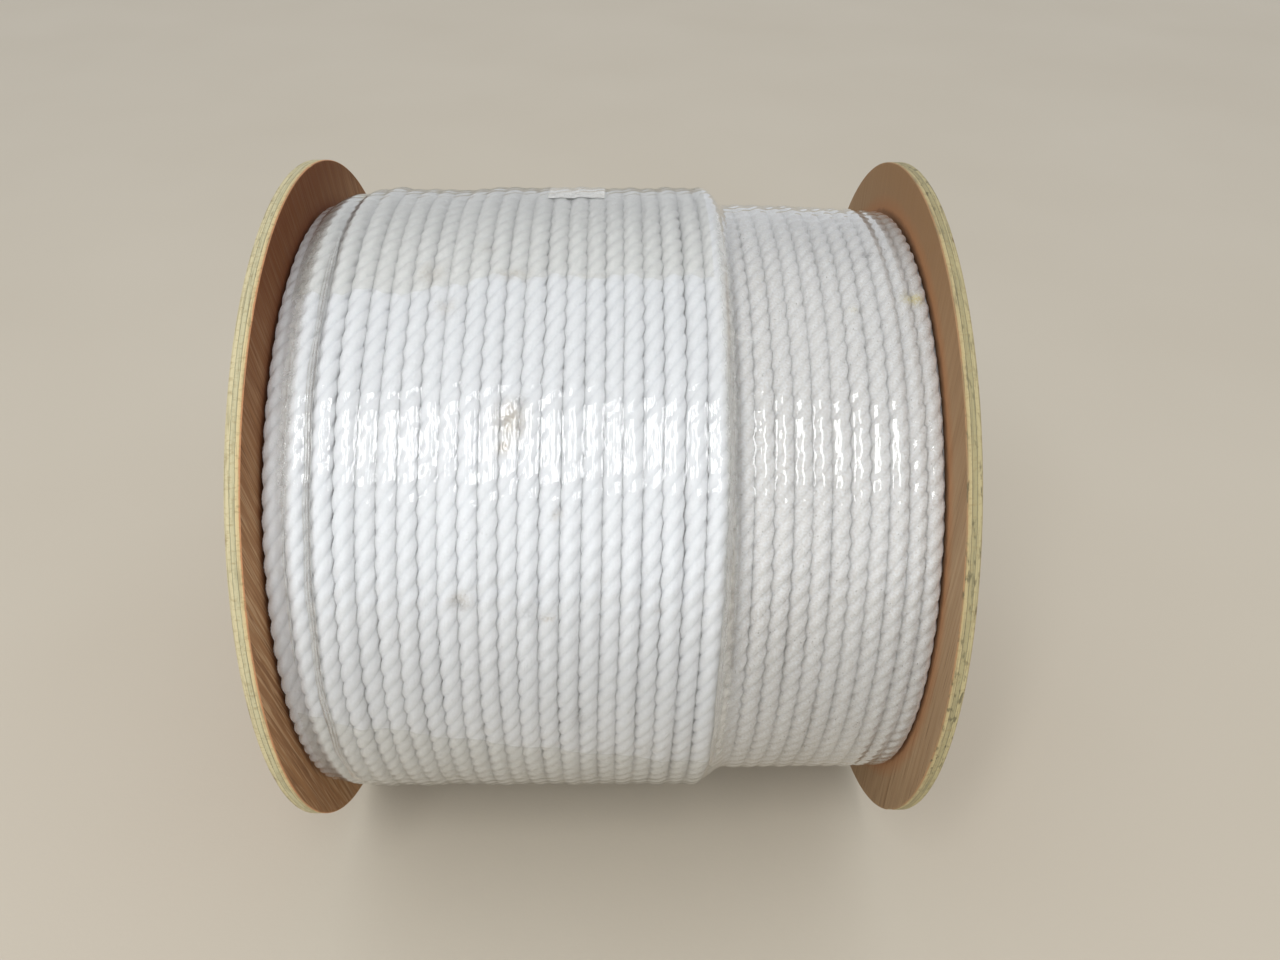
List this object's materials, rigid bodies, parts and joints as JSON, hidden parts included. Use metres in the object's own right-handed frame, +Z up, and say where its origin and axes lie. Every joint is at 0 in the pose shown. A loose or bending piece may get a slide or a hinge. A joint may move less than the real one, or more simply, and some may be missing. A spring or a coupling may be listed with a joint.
{
  "type": "rope reel",
  "caption": "Plywood-flanged reel lying on its rims, its drum full of white twisted rope wound in level layers under clear stretch film.",
  "frame": {"origin": "on the surface the reel lies on, midway between the flanges, under the axis", "axes": "+X along the reel's axis towards the end whose winding is one layer lower, +Z up, -Y the side that faces the viewer"},
  "size_m": [0.352, 0.381, 0.381],
  "materials": {
    "plywood": "bare five-ply board, red-brown face veneer, pale cut rim",
    "tube_paper": "spiral-wound grey-brown paper",
    "rod_steel": "zinc-plated thread",
    "hardware_steel": "zinc-plated",
    "rope": "matt white twisted synthetic fibre",
    "clear_film": "clear glossy stretch film",
    "clear_tape": "clear glossy packing tape"
  },
  "bodies": {
    "root": {"left_flange": "plywood", "right_flange": "plywood", "core_tube": "tube_paper", "tie_rod_1": "rod_steel", "left_washer_1": "hardware_steel", "left_nut_1": "hardware_steel", "right_washer_1": "hardware_steel", "right_nut_1": "hardware_steel", "tie_rod_2": "rod_steel", "left_washer_2": "hardware_steel", "left_nut_2": "hardware_steel", "right_washer_2": "hardware_steel", "right_nut_2": "hardware_steel", "tie_rod_3": "rod_steel", "left_washer_3": "hardware_steel", "left_nut_3": "hardware_steel", "right_washer_3": "hardware_steel", "right_nut_3": "hardware_steel", "tie_rod_4": "rod_steel", "left_washer_4": "hardware_steel", "left_nut_4": "hardware_steel", "right_washer_4": "hardware_steel", "right_nut_4": "hardware_steel", "rope_inner_layers": "rope", "rope_lower_layer": "rope", "rope_top_layer": "rope", "stretch_film": "clear_film", "closing_tape": "clear_tape"}
  },
  "joints": []
}
